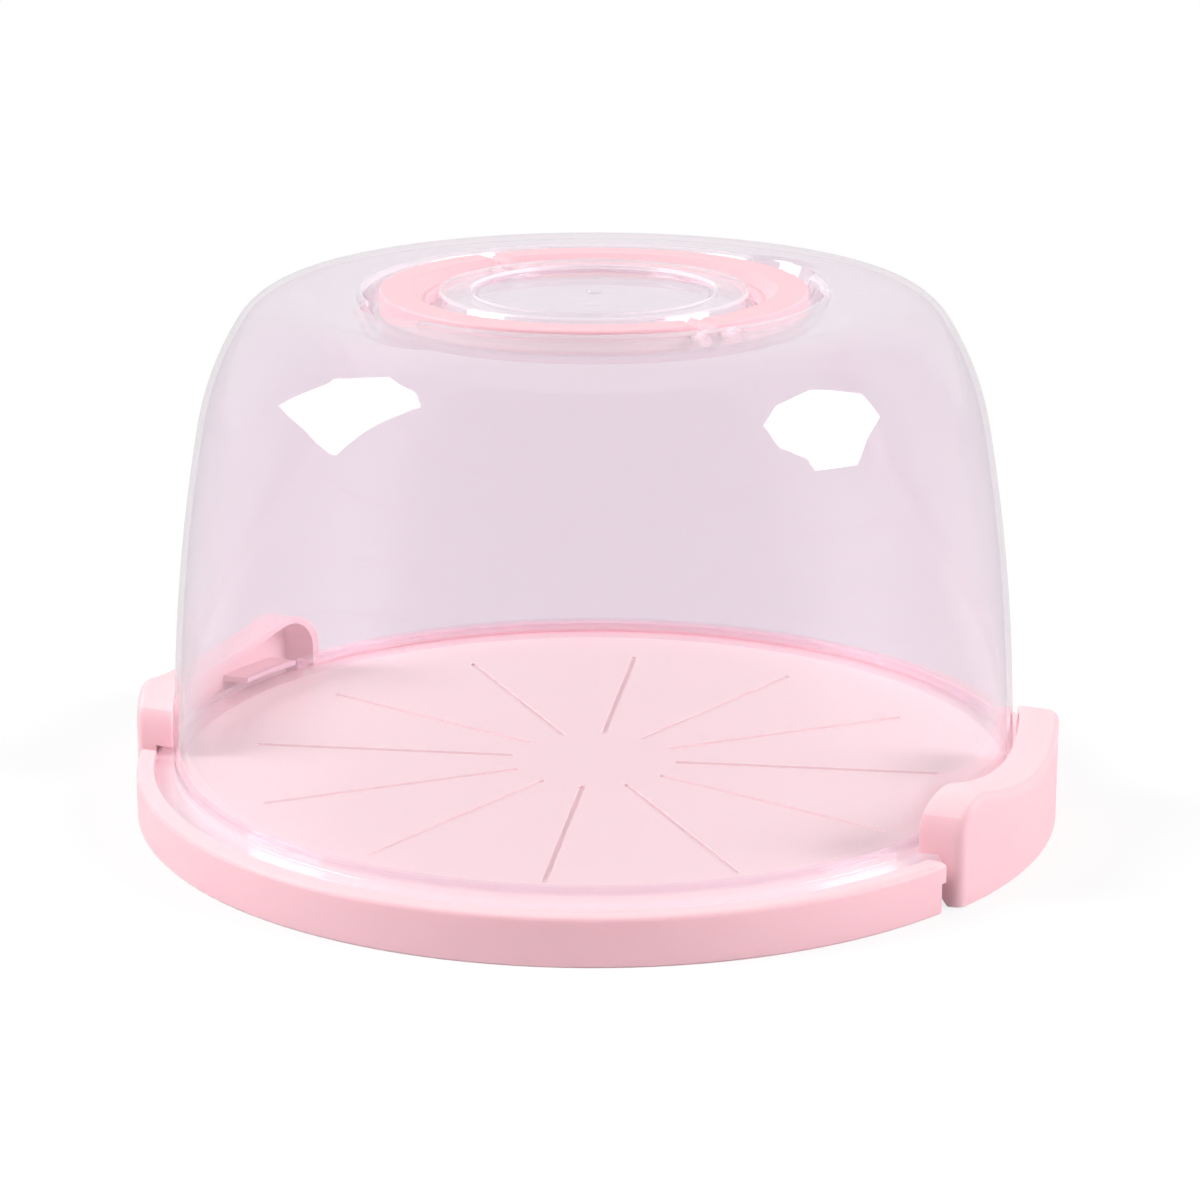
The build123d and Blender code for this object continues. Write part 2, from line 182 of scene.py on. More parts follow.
class CarrierDomeSizes(bpy.types.PropertyGroup):
    """Sizes of the clear dome"""

    wall: length("Wall", "Thickness of the dome's wall", 2.0)
    flange_radius: length("Flange radius", "Outer radius of the flange that the latches hold", 148.9)
    flange_bottom: length("Flange bottom", "Height of the flange's underside", 13.4)
    flange_thickness: length("Flange thickness", "Thickness of the flange", 2.8)
    side_radius: length("Side radius", "Outer radius at the foot of the side", 142.1)
    side_start: length("Side start", "Height at which the side starts to lean", 23.0)
    side_draft: angle("Side draft", "Lean of the lower side", 2.6)
    side_bend: length("Side bend", "Height of the bend between lower and upper side", 87.7)
    upper_draft: angle("Upper draft", "Lean of the upper side", 10.5)
    upper_bend: length("Upper bend", "Height of the bend between upper side and shoulder", 149.9)
    shoulder_draft: angle("Shoulder draft", "Lean of the shoulder", 32.1)
    crown_radius: length("Crown radius", "Radius at which the crown's height is measured", 98.7)
    crown_height: length("Crown height", "Height of the crown at that radius", 176.68)
    crown_slope: angle("Crown slope", "Rise of the crown towards the well", 1.0)
    well_radius: length("Well radius", "Radius of the handle's well", 73.6)
    well_depth: length("Well depth", "Depth of the handle's well", 8.3)
    plateau_radius: length("Plateau radius", "Radius of the plateau inside the well", 53.0)
    plateau_drop: length("Plateau drop", "How far the plateau lies below the well's lip", 0.4)
    disc_radius: length("Disc radius", "Radius of the shallow disc in the plateau", 40.5)
    disc_depth: length("Disc depth", "Depth of the shallow disc", 1.6)
    wall_lean: length("Wall lean", "How far the walls of the well and the plateau lean back", 3.4)
    lip_round: length("Lip round", "Radius along the well's lip", 2.2)
    corner_round: length("Corner round", "Radius of the well's other corners", 1.2)
    scallop_radius: length("Scallop radius", "Radius of a finger scallop", 24.0)
    scallop_reach: length("Scallop reach", "How far a scallop reaches from the centre", 80.5)
    seam: angle("Seam", "Direction of the handle's seam, seen from above", -36.5)
    boss_radius: length("Boss radius", "Outer radius of a pivot boss behind the well's wall", 3.3)
    boss_length: length("Boss length", "How far a pivot boss stands behind the wall", 3.2)
    boss_spread: length("Boss spread", "How far a pivot lies from the seam", 5.5)
    pivot_height: length("Pivot height", "Height of the handle's pivots", 173.138)
    pivot_radius: length("Pivot radius", "Inner radius of a pivot boss", 1.85)
    boss_end_wall: length("Boss end wall", "Thickness of a pivot boss's closed end", 1.0)
    gate_radius: length("Gate radius", "Radius of the moulding gate's nub in the middle of the disc", 2.2)
    gate_height: length("Gate height", "Height of the gate's nub", 0.5)


class CarrierHandleSizes(bpy.types.PropertyGroup):
    """Sizes of the ring handle's two halves"""

    outer: length("Outer radius", "Outer radius of the ring", 70.4)
    inner: length("Inner radius", "Inner radius of the ring", 54.8)
    bottom: length("Bottom", "Height of the ring's underside", 169.338)
    height: length("Height", "Height of the ring", 7.6)
    ledge: length("Ledge radius", "Radius at which the inner ledge starts", 60.0)
    ledge_drop: length("Ledge drop", "How far the ledge lies below the top", 3.5)
    edge_round: length("Edge round", "Radius along the ring's edges", 0.9)
    channel_inner: length("Channel inner radius", "Inner radius of the channel underneath", 62.2)
    channel_outer: length("Channel outer radius", "Outer radius of the channel underneath", 68.0)
    channel_roof: length("Channel roof", "Thickness left above the channel", 2.4)
    channel_start: length("Channel start", "Distance from the seam at which the channel starts", 14.0)
    pivot_radius: length("Pivot radius", "Radius of the moulded pivot stubs", 1.8)
    pivot_inner: length("Pivot inner end", "Radius at which the inner stub ends", 49.2)
    pivot_outer: length("Pivot outer end", "Radius at which the outer stub ends", 77.4)
    seam: angle("Seam", "Direction of the handle's seam, seen from above", -36.5)
    half_gap: length("Half gap", "Distance from the seam to a half's pivot line", 5.5)


class CarrierFinish(bpy.types.PropertyGroup):
    """Colours and gloss of the mouldings"""

    pink: colour("Pink", "Colour of the tray, the latches and the handle", "F8C8D0")
    # Painted light: this pale pink stands in for light and sheen on the plate, the rim's top and the latches'
    # inner sides
    pink_painted_light: colour("Pale pink", "Colour of the thin plate of the tray", "FBDEE1")
    pink_deep: colour("Deep pink", "Colour of thicker or shaded pink plastic", "F2A9B6")
    pink_roughness: share("Pink roughness", "Roughness of the pink plastic", 0.45)
    pink_glow: share("Pink glow", "Share of light that the pink plastic carries under its surface", 0.25)
    glow_reach: length("Glow reach", "How far that light spreads", 4.0)
    # Painted light: how far the rim's top gets a painted highlight, and the latches' inner sides painted
    # light over their shade
    rim_painted_light: share("Pale rim", "How pale the rim's top and the latches' inner sides are", 0.55)
    flow_marks: length("Flow marks", "Size of the flow marks", 60.0)
    flow_depth: share("Flow depth", "How much of the deep pink the flow marks take", 0.10)
    grain: length("Grain", "Size of the tool's grain as it is drawn", 0.5)
    grain_depth: length("Grain depth", "Depth of the grain", 0.03)
    grain_strength: share("Grain strength", "How strongly the grain bends the light", 0.08)
    clear: colour("Clear tint", "What one surface of the dome lets through", "FDFBFD")
    clear_sheen: colour("Clear sheen", "Colour of what the dome reflects", "F4F2F4")
    clear_gloss: share("Clear gloss", "Share of light that the dome reflects head on", 0.042)
    clear_roughness: share("Clear roughness", "Roughness of the dome", 0.02)
    haze: share("Haze", "Share of light that the dome scatters", 0.02)
    clear_milk: colour("Clear milk", "Colour of what the dome scatters", "F5EEF3")
    # Painted highlights: how white the lips' bright lines are, and below, half their widths
    lip_highlight: share("Lip white", "Share of light that the lips in the dome's top scatter", 0.55)
    disc_highlight: length("Disc line", "Half the width of the disc's bright lip", 0.7)
    plateau_highlight: length("Plateau line", "Half the width of the plateau's bright lip", 0.8)
    well_highlight: length("Well line", "Half the width of the well's bright lip", 1.5)
    steel: colour("Steel", "Colour of the hinge pins", "B9B9BD")
    steel_marks: length("Steel marks", "Size of the drawing marks on the pins", 0.6)


class CarrierStage(bpy.types.PropertyGroup):
    """Camera, lamps and floor"""

    lens: bpy.props.FloatProperty(
        name="Lens", description="Focal length in millimetres on a 36 mm sensor", default=102.85, min=1.0,
    )
    distance: length("Distance", "How far the camera stands from the object's axis", 1109.15)
    height: length("Height", "How high the camera stands", 395.63)
    azimuth: angle("Azimuth", "How far round the object the camera stands", 22.5)
    pitch: angle("Pitch", "How far the camera looks down", 16.38)
    shift: bpy.props.FloatProperty(name="Shift", description="Sideways shift of the picture", default=0.0053)
    lamp_distance: length("Lamp distance", "How far the soft lamps stand from the dome", 5000.0)
    lamp_strength: bpy.props.FloatProperty(
        name="Lamp strength", description="Brightness of the soft lamps' faces", default=12.6, min=0.0,
    )
    overhead_strength: bpy.props.FloatProperty(
        name="Overhead strength", description="Brightness of the panel overhead", default=0.8, min=0.0,
    )
    ambient: share("Ambient", "Light that the room gives the object", 0.28)
    floor_lift: share("Floor lift", "Share of its white that the floor shows by itself", 0.8)
    floor_paint: colour("Floor paint", "Colour of the light that the floor sends to the object", "E8E4E7")
    lilac: colour("Lilac", "Colour of the backdrop where the clear dome stands before it", "F1E9ED")
    room: share("Room", "Brightness of the room behind the camera where the object mirrors it", 0.38)
    room_sides: share("Room's sides", "Brightness of the room's sides where the object mirrors it", 0.62)
    room_behind: share("Room behind", "Brightness of the room behind the object where it mirrors it", 0.92)
    backdrop: share("Backdrop", "Brightness of the white backdrop where the object mirrors it", 1.0)


GROUPS = {
    "dome": CarrierDomeSizes,
    "handle": CarrierHandleSizes,
    "finish": CarrierFinish,
    "stage": CarrierStage,
}


class CarrierSettings(bpy.types.PropertyGroup):
    """All sizes and colours of the carrier"""

    dome: bpy.props.PointerProperty(type=CarrierDomeSizes)
    handle: bpy.props.PointerProperty(type=CarrierHandleSizes)
    finish: bpy.props.PointerProperty(type=CarrierFinish)
    stage: bpy.props.PointerProperty(type=CarrierStage)


def settings():
    """The carrier's sizes and colours as they are set in the scene."""
    return bpy.context.scene.carrier


def new_object(name, points, faces, sharp=40.0, closed=True):
    """A mesh object at the origin from an array of points and a list of faces, smooth but for its creases.
    A closed mesh holds a positive volume, the sum of corner products over its triangles, when its faces
    point outwards, so all faces are turned where that sum is negative."""
    points = points.reshape(-1, 3)
    if closed:
        fans = np.array([(f[0], f[k], f[k + 1]) for f in faces for k in range(1, len(f) - 1)])
        a, b, c = points[fans[:, 0]], points[fans[:, 1]], points[fans[:, 2]]
        if np.einsum("ij,ij->", a, np.cross(b, c)) < 0:
            faces = [tuple(f)[::-1] for f in faces]
    mesh = bpy.data.meshes.new(name)
    mesh.from_pydata(points.tolist(), [], faces)
    mesh.validate()
    mesh.update()
    mesh.polygons.foreach_set("use_smooth", np.ones(len(mesh.polygons), bool))
    mesh.set_sharp_from_angle(angle=math.radians(sharp))
    piece = bpy.data.objects.new(name, mesh)
    bpy.context.scene.collection.objects.link(piece)
    return piece


def grid_faces(rows, columns, first=0, round_rows=False, round_columns=True):
    """The four-cornered faces of a grid of points, row by row, which may close on itself both ways."""
    top = np.arange(rows if round_rows else rows - 1)
    left = np.arange(columns if round_columns else columns - 1)
    r, c = np.meshgrid(top, left, indexing="ij")
    down, right = (r + 1) % rows, (c + 1) % columns
    quads = np.stack([r * columns + c, r * columns + right, down * columns + right, down * columns + c], -1)
    return (quads.reshape(-1, 4) + first).tolist()


def rounded(corners, steps=8, support=0.3 * MM):
    """An open outline of (x, z, radius) corners. Each arc touches its two straights at its radius times
    the tangent of half the turn from the corner, and a point near each end of a straight keeps it flat."""
    corners = np.array(corners, float)
    places = [corners[:1, :2]]
    for before, here, after in zip(corners[:-2], corners[1:-1], corners[2:]):
        back, on = before[:2] - here[:2], after[:2] - here[:2]
        back, on = back / np.linalg.norm(back), on / np.linalg.norm(on)
        turn = math.pi - math.acos(float(np.clip(back @ on, -1, 1)))
        reach = here[2] * math.tan(turn / 2)
        start, end = here[:2] + back * reach, here[:2] + on * reach
        middle = (back + on) / np.linalg.norm(back + on)
        centre = here[:2] + middle * math.hypot(reach, here[2])
        from_angle = math.atan2(*(start - centre)[::-1])
        swing = (math.atan2(*(end - centre)[::-1]) - from_angle + math.pi) % (2 * math.pi) - math.pi
        angles = from_angle + swing * np.linspace(0, 1, steps + 1)
        arc = centre + here[2] * np.stack([np.cos(angles), np.sin(angles)], -1)
        places += [start + back * support, arc, end + on * support]
    places.append(corners[-1:, :2])
    return np.vstack(places)


def turned(profile, foot, axis, columns=24):
    """A closed solid of revolution: (radius, distance) points turned about an axis through a foot, where the
    first and the last point lie on the axis. It gives the points and the faces."""
    axis = axis / np.linalg.norm(axis)
    side = np.cross(axis, [0, 0, 1] if abs(axis[2]) < 0.9 else [1, 0, 0])
    side = side / np.linalg.norm(side)
    other = np.cross(axis, side)
    turns = np.arange(columns) / columns * 2 * math.pi
    rings = profile[1:-1]
    spokes = np.cos(turns)[:, None] * side + np.sin(turns)[:, None] * other
    body = foot + rings[:, None, :1] * spokes + rings[:, None, 1:] * axis
    ends = foot + profile[[0, -1], 1][:, None] * axis
    faces = grid_faces(len(rings), columns)
    last = (len(rings) - 1) * columns
    top = len(rings) * columns
    faces += [(top, (c + 1) % columns, c) for c in range(columns)]
    faces += [(top + 1, last + c, last + (c + 1) % columns) for c in range(columns)]
    return np.vstack([body.reshape(-1, 3), ends]), faces


def node(tree, kind, inputs=None, **fields):
    """Adds a node, sets its fields, and gives each named input its value, the socket that feeds it, or the
    node whose first output feeds it."""
    made = tree.nodes.new(kind)
    for field, value in fields.items():
        setattr(made, field, value)
    for name, given in (inputs or {}).items():
        source = given.outputs[0] if isinstance(given, bpy.types.Node) else given
        if isinstance(source, bpy.types.NodeSocket):
            tree.links.new(source, made.inputs[name])
        else:
            made.inputs[name].default_value = source
    return made


def new_material(name):
    """A new material with an empty node tree, and that tree."""
    material = bpy.data.materials.new(name)
    material.use_nodes = True
    material.node_tree.nodes.clear()
    return material, material.node_tree


def rgba(values):
    """A colour with full cover."""
    return (*values, 1.0)


def axis_distance(tree, spot):
    """Distance from the object's upright axis."""
    flat = node(tree, "ShaderNodeCombineXYZ", {"X": spot["X"], "Y": spot["Y"]})
    return node(tree, "ShaderNodeVectorMath", {0: flat}, operation="LENGTH").outputs["Value"]


def painted_light(tree, place):
    """Painted light: how much paler the pink is painted where it stands in for light and sheen. That is fully
    on the tray's thin plate, and about half on top of the rim, as a painted highlight, and inside the thin
    bands of the latches, as painted light over their shade; their solid ends keep the full colour."""
    spot = node(tree, "ShaderNodeSeparateXYZ", {"Vector": place}).outputs
    reach = axis_distance(tree, spot)
    inwards = node(
        tree, "ShaderNodeMapRange", {"Value": reach, **PLATE_EDGE}, interpolation_type="SMOOTHSTEP",
    )
    down = node(
        tree, "ShaderNodeMapRange", {"Value": spot["Z"], **PLATE_TOP}, interpolation_type="SMOOTHSTEP",
    )
    # Painted light on the tray's plate
    plate = node(tree, "ShaderNodeMath", {0: inwards, 1: down}, operation="MULTIPLY")
    within = node(tree, "ShaderNodeMapRange", {"Value": reach, **BAND_INSIDE})
    above = node(
        tree, "ShaderNodeMapRange", {"Value": spot["Z"], "To Max": settings().finish.rim_painted_light, **RIM_TOP},
    )
    # Painted highlight on the rim's top, and painted light inside the latches' bands
    rim = node(tree, "ShaderNodeMath", {0: within, 1: above}, operation="MULTIPLY")
    under_handle = node(tree, "ShaderNodeMath", {0: spot["Z"], 1: BELOW_HANDLE}, operation="LESS_THAN")
    sideways = node(tree, "ShaderNodeMath", {0: spot["Y"]}, operation="ABSOLUTE")
    at_end = node(
        tree, "ShaderNodeMath", {0: sideways, 1: LATCH_END, 2: LATCH_END_REACH}, operation="COMPARE",
    )
    between = node(tree, "ShaderNodeMath", {0: under_handle, 1: at_end}, operation="SUBTRACT")
    inside = node(tree, "ShaderNodeMath", {0: rim, 1: between}, operation="MULTIPLY")
    return node(tree, "ShaderNodeMath", {0: plate, 1: inside}, operation="MAXIMUM").outputs["Value"]


def polypropylene():
    """Pink polypropylene, injection-moulded with a satin tool finish. The eye gets a soft pale sheen, a fine
    even grain and slightly deeper pink where the melt flowed thicker. The plate, the rim's top and the
    latches' inner sides are painted paler, as painted light and sheen."""
    found = bpy.data.materials.get("pink_polypropylene")
    if found:
        return found
    finish = settings().finish
    material, tree = new_material("pink_polypropylene")
    place = node(tree, "ShaderNodeTexCoord").outputs["Object"]
    flow = node(
        tree, "ShaderNodeTexNoise", {"Vector": place, "Scale": 1 / finish.flow_marks, "Detail": 2.0},
    ).outputs["Fac"]
    deeper = node(tree, "ShaderNodeMapRange", {"Value": flow, "To Max": finish.flow_depth, **FLOW_RANGE})
    tone = node(
        tree, "ShaderNodeMix", {"Factor": deeper, "A": rgba(finish.pink), "B": rgba(finish.pink_deep)},
        data_type="RGBA",
    ).outputs["Result"]
    # Painted light: the plate, the rim's top and the latches' inner sides are painted paler than the pink
    painted_lighter = node(
        tree, "ShaderNodeMix", {"Factor": painted_light(tree, place), "A": tone, "B": rgba(finish.pink_painted_light)},
        data_type="RGBA",
    ).outputs["Result"]
    # The tool's grain is 0.1 mm across in life, and drawn larger so that it shows
    grain = node(
        tree, "ShaderNodeTexNoise", {"Vector": place, "Scale": 1 / finish.grain, "Detail": 1.0},
    ).outputs["Fac"]
    bump = node(
        tree, "ShaderNodeBump",
        {"Height": grain, "Strength": finish.grain_strength, "Distance": finish.grain_depth},
    )
    surface = node(tree, "ShaderNodeBsdfPrincipled", {
        "Base Color": painted_lighter,
        "Roughness": finish.pink_roughness,
        "IOR": PLASTIC_IOR,
        "Normal": bump,
        "Subsurface Weight": finish.pink_glow,
        "Subsurface Radius": GLOW_SPREAD,
        "Subsurface Scale": finish.glow_reach,
    })
    node(tree, "ShaderNodeOutputMaterial", {"Surface": surface})
    return material


def haze_and_lip_highlights(tree, facing):
    """How much the clear plastic scatters: its haze over the cosine of the look, since a slanting look meets
    more of the wall. On top of that, a painted highlight, a bright scattering line, follows each radius of
    the lips of the well, the plateau and the disc, standing in for the lamps' reflections in them."""
    finish, sizes = settings().finish, settings().dome
    place = node(tree, "ShaderNodeTexCoord").outputs["Object"]
    spot = node(tree, "ShaderNodeSeparateXYZ", {"Vector": place}).outputs
    reach = axis_distance(tree, spot)
    rings = (
        (sizes.disc_radius, finish.disc_highlight),
        (sizes.plateau_radius - sizes.wall_lean * LEAN_AT_TOP, finish.plateau_highlight),
        (sizes.well_radius + sizes.wall_lean * LEAN_AT_TOP, finish.well_highlight),
    )
    # Painted highlights: bright lines at the lips' radii, drawn near the crown's height
    lips = 0.0
    for radius, half_width in rings:
        off = node(tree, "ShaderNodeMath", {0: reach, 1: radius}, operation="SUBTRACT")
        away = node(tree, "ShaderNodeMath", {0: off}, operation="ABSOLUTE")
        line = node(
            tree, "ShaderNodeMapRange", {"Value": away, "From Min": half_width, "From Max": half_width / 3},
            interpolation_type="SMOOTHSTEP",
        )
        lips = node(tree, "ShaderNodeMath", {0: line, 1: lips}, operation="MAXIMUM")
    high = node(tree, "ShaderNodeMapRange", {
        "Value": spot["Z"],
        "From Min": sizes.crown_height - LIP_HIGHLIGHT_START,
        "From Max": sizes.crown_height - LIP_HIGHLIGHT_FULL,
    })
    drawn = node(tree, "ShaderNodeMath", {0: lips, 1: high}, operation="MULTIPLY")
    cosine = node(tree, "ShaderNodeMath", {0: 1 + LEAST_COSINE, 1: facing}, operation="SUBTRACT")
    haze = node(tree, "ShaderNodeMath", {0: finish.haze, 1: cosine}, operation="DIVIDE")
    return node(
        tree, "ShaderNodeMapRange", {"Value": drawn, "To Min": haze, "To Max": finish.lip_highlight},
    ).outputs["Result"]


def clear_plastic():
    """Clear polystyrene, injection-moulded in a polished tool. The eye gets sharp reflections that grow
    towards its edges, a little hazy scatter, and painted highlights along its lips."""
    found = bpy.data.materials.get("clear_polystyrene")
    if found:
        return found
    finish = settings().finish
    material, tree = new_material("clear_polystyrene")
    facing = node(tree, "ShaderNodeLayerWeight", {"Blend": 0.5}).outputs["Facing"]
    # Reflections rise with the fifth power of one minus the cosine of the look
    rise = node(tree, "ShaderNodeMath", {0: facing, 1: 5.0}, operation="POWER")
    gloss = finish.clear_gloss
    mirror = node(tree, "ShaderNodeMath", {0: rise, 1: 1 - gloss, 2: gloss}, operation="MULTIPLY_ADD")
    through = node(tree, "ShaderNodeBsdfTransparent", {"Color": rgba(finish.clear)})
    haze = node(tree, "ShaderNodeBsdfDiffuse", {"Color": rgba(finish.clear_milk)})
    body = node(tree, "ShaderNodeMixShader", {"Fac": haze_and_lip_highlights(tree, facing), 1: through, 2: haze})
    shine = node(
        tree, "ShaderNodeBsdfGlossy",
        {"Color": rgba(finish.clear_sheen), "Roughness": finish.clear_roughness},
    )
    whole = node(tree, "ShaderNodeMixShader", {"Fac": mirror, 1: body, 2: shine})
    # Lamplight comes through it untinted, as it does in life where the wall also bends it inwards
    lamplight = node(tree, "ShaderNodeBsdfTransparent", {"Color": rgba(WHITE)})
    shadow = node(tree, "ShaderNodeLightPath").outputs["Is Shadow Ray"]
    lit = node(tree, "ShaderNodeMixShader", {"Fac": shadow, 1: whole, 2: lamplight})
    node(tree, "ShaderNodeOutputMaterial", {"Surface": lit})
    return material


def drawn_steel():
    """Drawn steel wire. The eye gets a grey metal with fine marks."""
    found = bpy.data.materials.get("drawn_steel")
    if found:
        return found
    finish = settings().finish
    material, tree = new_material("drawn_steel")
    place = node(tree, "ShaderNodeTexCoord").outputs["Object"]
    marks = node(
        tree, "ShaderNodeTexNoise", {"Vector": place, "Scale": 1 / finish.steel_marks, "Detail": 1.0},
    ).outputs["Fac"]
    rough = node(tree, "ShaderNodeMapRange", {"Value": marks, **STEEL_ROUGHNESS})
    surface = node(
        tree, "ShaderNodeBsdfPrincipled",
        {"Base Color": rgba(finish.steel), "Metallic": 1.0, "Roughness": rough},
    )
    node(tree, "ShaderNodeOutputMaterial", {"Surface": surface})
    return material


def dress(piece, material):
    """Gives a piece one material."""
    piece.data.materials.clear()
    piece.data.materials.append(material)


def dome_corners(sizes, inset):
    """The dome's outline from the middle of its top to its foot, as (radius, height, round) corners, moved
    into the wall by an inset. A corner between two straights moves along the line that halves them."""
    t = sizes

    def moved(x, z, first, second):
        middle, half = (first + second) / 2, (second - first) / 2
        step = inset / math.cos(half)
        return x - step * math.cos(middle), z - step * math.sin(middle)

    edge_z = t.crown_height + (t.crown_radius - t.well_radius) * math.sin(t.crown_slope)
    floor, plateau = edge_z - t.well_depth, edge_z - t.plateau_drop
    disc = plateau - t.disc_depth
    side = (t.side_radius, t.side_start)
    low = (side[0] - (t.side_bend - side[1]) * math.tan(t.side_draft), t.side_bend)
    high = (low[0] - (t.upper_bend - low[1]) * math.tan(t.upper_draft), t.upper_bend)
    slope, lean = math.tan(t.crown_slope), math.tan(t.shoulder_draft)
    rise = (t.crown_height - (high[0] - t.crown_radius) * slope - high[1]) / (1 - slope * lean)
    crown = (high[0] - rise * lean, high[1] + rise)
    upper, shoulder = math.dist(low, high), math.dist(high, crown)
    low_round = LOW_BEND_PART * upper / math.tan((t.upper_draft - t.side_draft) / 2)
    high_round = HIGH_BEND_PART * upper / math.tan((t.shoulder_draft - t.upper_draft) / 2)
    crown_round = CROWN_BEND_PART * shoulder / math.tan((math.pi / 2 - t.crown_slope - t.shoulder_draft) / 2)
    top, foot = t.wall_lean * LEAN_AT_TOP, t.wall_lean * LEAN_AT_FOOT
    dent = t.corner_round + inset
    if inset:
        centre = [(0, disc - inset, 0)]
        out, disc_out, lip, end = TIGHT_ROUND, TIGHT_ROUND, INNER_LIP_ROUND, t.flange_bottom
    else:
        centre = [
            (0, disc + t.gate_height, 0),
            (t.gate_radius, disc + t.gate_height, TIGHT_ROUND),
            (t.gate_radius + TIGHT_ROUND, disc, GATE_FOOT_ROUND),
        ]
        out, disc_out = t.corner_round, t.corner_round * DISC_ROUND_PART
        lip, end = t.lip_round, t.flange_bottom + t.flange_thickness
    return centre + [
        (t.disc_radius - inset, disc - inset, dent * DISC_ROUND_PART),
        (t.disc_radius - inset, plateau - inset, disc_out),
        (t.plateau_radius - top - inset, plateau - inset, out),
        (t.plateau_radius + foot - inset, floor - inset, dent),
        (t.well_radius - foot + inset, floor - inset, dent),
        (t.well_radius + top + inset, edge_z - inset, lip),
        (*moved(*crown, t.shoulder_draft, math.pi / 2 - t.crown_slope), crown_round - inset),
        (*moved(*high, t.upper_draft, t.shoulder_draft), high_round - inset),
        (*moved(*low, t.side_draft, t.upper_draft), low_round - inset),
        (*moved(*side, 0, t.side_draft), SIDE_BEND_ROUND),
        (t.side_radius - inset, end, 0),
    ]


def scallop_edge(turns, sizes):
    """How far the well's wall moves out at each angle from the middle of a scallop: to the far side of a
    circle set off the centre, where that lies outside the well."""
    offset = sizes.scallop_reach - sizes.scallop_radius
    across = offset * np.sin(turns)
    inside = np.clip(sizes.scallop_radius**2 - across**2, 0, None)
    reach = np.where(np.cos(turns) > 0, offset * np.cos(turns) + np.sqrt(inside), 0)
    return np.clip(reach - sizes.well_radius, 0, None)


def dome_columns(sizes):
    """Angles round the dome: one degree apart, and finer across the two scallops."""
    middles = sizes.seam + np.array([math.pi / 2, 3 * math.pi / 2])
    across_one = np.linspace(-SCALLOP_SPAN, SCALLOP_SPAN, SCALLOP_COLUMNS)
    between = np.linspace(SCALLOP_SPAN, math.pi - SCALLOP_SPAN, PLAIN_COLUMNS)[1:-1]
    fine = [middle + across_one for middle in middles]
    plain = [middle + between for middle in middles]
    return np.concatenate([fine[0], plain[0], fine[1], plain[1]]), middles


class CARRIER_OT_dome(bpy.types.Operator):
    """Make the clear dome: a closed shell of revolution whose well wall bulges at the scallops"""

    bl_idname = "carrier.dome"
    bl_label = "Clear dome"

    def execute(self, context):
        sizes = settings().dome
        outer = rounded(dome_corners(sizes, 0.0))
        inner = rounded(dome_corners(sizes, sizes.wall))
        lap, flange_top = sizes.side_start - SIDE_LAP, sizes.flange_bottom + sizes.flange_thickness
        flange = rounded([
            (sizes.side_radius, lap, 0),
            (sizes.side_radius, flange_top, FLANGE_ROOT_ROUND),
            (sizes.flange_radius, flange_top, FLANGE_EDGE_ROUND),
            (sizes.flange_radius, sizes.flange_bottom, FLANGE_EDGE_ROUND),
            (sizes.side_radius - sizes.wall, sizes.flange_bottom, FLANGE_INNER_ROUND),
            (sizes.side_radius - sizes.wall, lap, 0),
        ], steps=5)
        outline = np.vstack([outer[:-1], flange, inner[:-1][::-1]])
        turns, middles = dome_columns(sizes)
        bulge = sum(
            scallop_edge((turns - middle + math.pi) % (2 * math.pi) - math.pi, sizes) for middle in middles
        )
        radius, height = outline[:, :1], outline[:, 1:]
        # Rows from the lip to the foot of the well's wall move out with the scallops
        near = sizes.wall_lean + sizes.lip_round + sizes.wall
        at_wall = (np.abs(radius - sizes.well_radius) < near) & (height > sizes.crown_height - WELL_ZONE)
        spread = radius + at_wall * bulge[None, :]
        points = np.stack([
            spread * np.cos(turns), spread * np.sin(turns), np.broadcast_to(height, spread.shape),
        ], -1)
        rows, columns = spread.shape
        body = points[1:-1].reshape(-1, 3)
        poles = np.array([[0, 0, outline[0, 1]], [0, 0, outline[-1, 1]]])
        faces = grid_faces(rows - 2, columns)
        last = (rows - 3) * columns
        top, under = len(body), len(body) + 1
        faces += [(top, (c + 1) % columns, c) for c in range(columns)]
        faces += [(under, last + c, last + (c + 1) % columns) for c in range(columns)]
        points = [np.vstack([body, poles])]
        for cup in self.cups(sizes):
            faces += [tuple(index + sum(map(len, points)) for index in face) for face in cup[1]]
            points.append(cup[0])
        piece = new_object("dome_shell", np.vstack(points), faces)
        dress(piece, clear_plastic())
        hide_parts("dome_lid")
        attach(piece, "dome")
        return {"FINISHED"}

    def cups(self, sizes):
        """The bosses that carry the handle's pivots: cups turned about lines along the seam, behind the
        well's outer and inner walls."""
        along = np.array([math.cos(sizes.seam), math.sin(sizes.seam), 0])
        across = np.array([-along[1], along[0], 0])
        deep = sizes.wall + sizes.boss_length
        root, seat = sizes.wall * BOSS_ROOT, deep - sizes.boss_end_wall
        profile = rounded([
            (0, deep, 0),
            (sizes.boss_radius, deep, BOSS_EDGE_ROUND),
            (sizes.boss_radius, root, BOSS_MOUTH_ROUND),
            (sizes.pivot_radius, root, BOSS_MOUTH_ROUND),
            (sizes.pivot_radius, seat, BOSS_SEAT_ROUND),
            (0, seat, 0),
        ], steps=2, support=0.05 * MM)
        for end in (1, -1):
            for half in (1, -1):
                for radius, turn in ((sizes.well_radius, 1), (sizes.plateau_radius, -1)):
                    middle = across * half * sizes.boss_spread + np.array([0, 0, sizes.pivot_height])
                    yield turned(profile, middle + along * end * radius, along * end * turn)


